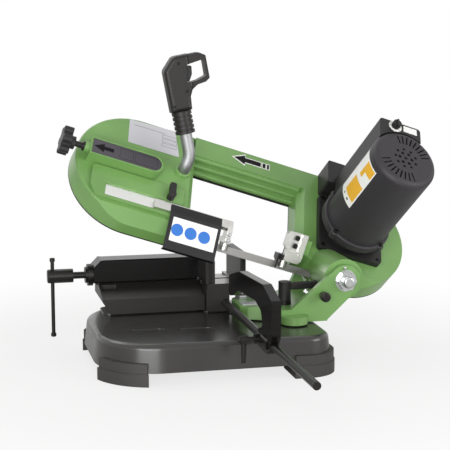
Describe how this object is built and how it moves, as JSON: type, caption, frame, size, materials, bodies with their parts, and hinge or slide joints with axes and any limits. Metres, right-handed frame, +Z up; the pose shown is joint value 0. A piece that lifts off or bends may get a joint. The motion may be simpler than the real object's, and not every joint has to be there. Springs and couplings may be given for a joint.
{
  "type": "portable band saw",
  "caption": "Benchtop metal-cutting band saw with a tilting green bow, vise, stop arm and swivel base.",
  "frame": {"origin": "on the ground under the middle of the base pan, at the centre of the foot bolt pattern", "axes": "+X right along the vise and the bow, +Y back across the vise, +Z up"},
  "size_m": [0.634, 0.6856, 0.5045],
  "materials": {
    "green_paint": "semi_gloss",
    "black_paint": "satin",
    "guard_paint": "satin",
    "black_plastic": "matte",
    "black_steel": "satin",
    "zinc_steel": "satin",
    "machined_steel": "satin",
    "band_steel": "satin",
    "bare_plate": "satin",
    "grey_plate": "satin",
    "chrome_tube": "satin",
    "cast_wheel": "satin",
    "wheel_rubber": "matte",
    "cable_rubber": "matte",
    "printed_film": "gloss"
  },
  "bodies": {
    "base": {"base_pan": "black_paint", "corner_shoes": "black_plastic", "vise_bed": "black_paint", "table_block": "black_paint", "fixed_jaw": "black_paint", "swivel_bolt": "zinc_steel", "vise_nut": "zinc_steel"},
    "vise": {"vise_carriage": "black_paint", "moving_jaw": "black_paint"},
    "screw": {"vise_screw": "black_steel"},
    "bar": {"tommy_bar": "black_steel"},
    "rod": {"stop_rod": "black_steel"},
    "stop": {"stop_arm": "black_paint"},
    "stop_screw": {"stop_clamp_screw": "black_steel"},
    "swivel": {"swivel_arm": "green_paint", "mitre_scale": "bare_plate", "lock_post": "black_steel", "hinge_bolt_front": "zinc_steel", "hinge_nut": "zinc_steel", "hinge_bolt_rear": "zinc_steel"},
    "mitre_lever": {"lock_lever": "black_plastic"},
    "pin": {"lock_pin": "black_steel"},
    "bow": {"bow_casting": "green_paint", "rear_cover": "black_plastic", "rating_plate": "bare_plate", "arrow_plate": "grey_plate", "guideway": "machined_steel", "saw_band": "band_steel", "right_guide_block": "cast_wheel", "right_guide_holder": "black_steel", "right_guide_rollers": "machined_steel", "chip_scraper": "black_steel", "socket_screws": "black_steel", "handle_tube": "chrome_tube", "grip_front": "black_plastic", "grip_rear": "black_plastic", "gearbox_plate": "black_paint", "motor_flange": "black_plastic", "motor_body": "black_plastic", "motor_cap": "black_plastic", "cable_box": "black_plastic", "control_box": "black_plastic", "cable_gland": "cable_rubber"},
    "guide_arm": {"guide_bar": "machined_steel", "left_guide_block": "machined_steel", "left_guide_rollers": "machined_steel", "band_guard": "guard_paint"},
    "guide_lever": {"guide_lock_lever": "black_plastic"},
    "tension": {"tension_screw": "zinc_steel", "tension_knob": "black_plastic"},
    "carriage": {"idler_carriage": "machined_steel", "idler_axle": "machined_steel"},
    "idler": {"idler_wheel": "cast_wheel", "idler_tyre": "wheel_rubber"},
    "drive": {"drive_wheel": "cast_wheel", "drive_tyre": "wheel_rubber", "drive_shaft": "machined_steel"},
    "trigger_body": {"trigger": "black_plastic"},
    "dial": {"speed_dial": "black_plastic"}
  },
  "joints": [
    {"name": "vise_slide", "type": "slide", "parent": "base", "child": "vise", "axis": [1, 0, 0], "range_m": [-0.04, 0.044]},
    {"name": "vise_screw_turn", "type": "hinge", "parent": "vise", "child": "screw", "pos_m": [-0.1, 0.14, 0.122], "axis": [1, 0, 0], "continuous": true},
    {"name": "tommy_bar_slide", "type": "slide", "parent": "screw", "child": "bar", "axis": [0, 0, 1], "range_m": [-0.013, 0.087]},
    {"name": "stop_rod_slide", "type": "slide", "parent": "base", "child": "rod", "axis": [0, 1, 0], "range_m": [-0.03, 0.01]},
    {"name": "stop_arm_slide", "type": "slide", "parent": "rod", "child": "stop", "axis": [0, 1, 0], "range_m": [-0.19, 0.018]},
    {"name": "stop_screw_turn", "type": "hinge", "parent": "stop", "child": "stop_screw", "pos_m": [0.03, -0.211, 0.081], "axis": [1, 0, 0], "range_deg": [-80, 80]},
    {"name": "mitre_swivel", "type": "hinge", "parent": "base", "child": "swivel", "pos_m": [0.08, 0.045, 0.066], "axis": [0, 0, 1], "range_deg": [0, 45]},
    {"name": "mitre_lever_turn", "type": "hinge", "parent": "swivel", "child": "mitre_lever", "pos_m": [0.14, -0.012, 0.1], "axis": [0, 0, 1], "range_deg": [-15, 25]},
    {"name": "lock_pin_slide", "type": "slide", "parent": "swivel", "child": "pin", "axis": [0, -1, 0], "range_m": [0, 0.008]},
    {"name": "bow_pivot", "type": "hinge", "parent": "swivel", "child": "bow", "pos_m": [0.231, 0, 0.1325], "axis": [0, 1, 0], "range_deg": [-18.2, 30]},
    {"name": "guide_arm_slide", "type": "slide", "parent": "bow", "child": "guide_arm", "axis": [0.95, 0, -0.3123], "range_m": [-0.01, 0.026]},
    {"name": "guide_lever_turn", "type": "hinge", "parent": "bow", "child": "guide_lever", "pos_m": [-0.04003, 0.06081, 0.26226], "axis": [0.2209, -0.7071, 0.6717], "range_deg": [-50, 50]},
    {"name": "idler_slide", "type": "slide", "parent": "bow", "child": "carriage", "axis": [0.95, 0, -0.3123], "range_m": [0, 0.004]},
    {"name": "tension_turn", "type": "hinge", "parent": "bow", "child": "tension", "pos_m": [-0.17189, 0.08822, 0.34787], "axis": [0.95, 0, -0.3123], "range_deg": [-10, 970]},
    {"name": "drive_spin", "type": "hinge", "parent": "bow", "child": "drive", "pos_m": [0.28685, 0.11438, 0.1695], "axis": [0.2209, -0.7071, 0.6717], "continuous": true},
    {"name": "idler_spin", "type": "hinge", "parent": "carriage", "child": "idler", "pos_m": [-0.09836, 0.11438, 0.29615], "axis": [0.2209, -0.7071, 0.6717], "continuous": true},
    {"name": "trigger_press", "type": "slide", "parent": "bow", "child": "trigger_body", "axis": [-0.982, 0, -0.1891], "range_m": [0, 0.004], "stiffness_N_per_m": 600},
    {"name": "speed_dial_turn", "type": "hinge", "parent": "bow", "child": "dial", "pos_m": [0.33336, -0.00495, 0.38141], "axis": [0.2209, -0.7071, 0.6717], "range_deg": [-135, 135]}
  ],
  "couplings": [
    {"joint": "vise_screw_turn", "follows": "vise_slide", "rad_per_m": 785.4},
    {"joint": "tension_turn", "follows": "idler_slide", "rad_per_m": 4188.8},
    {"joint": "idler_spin", "follows": "drive_spin", "ratio": 1}
  ]
}
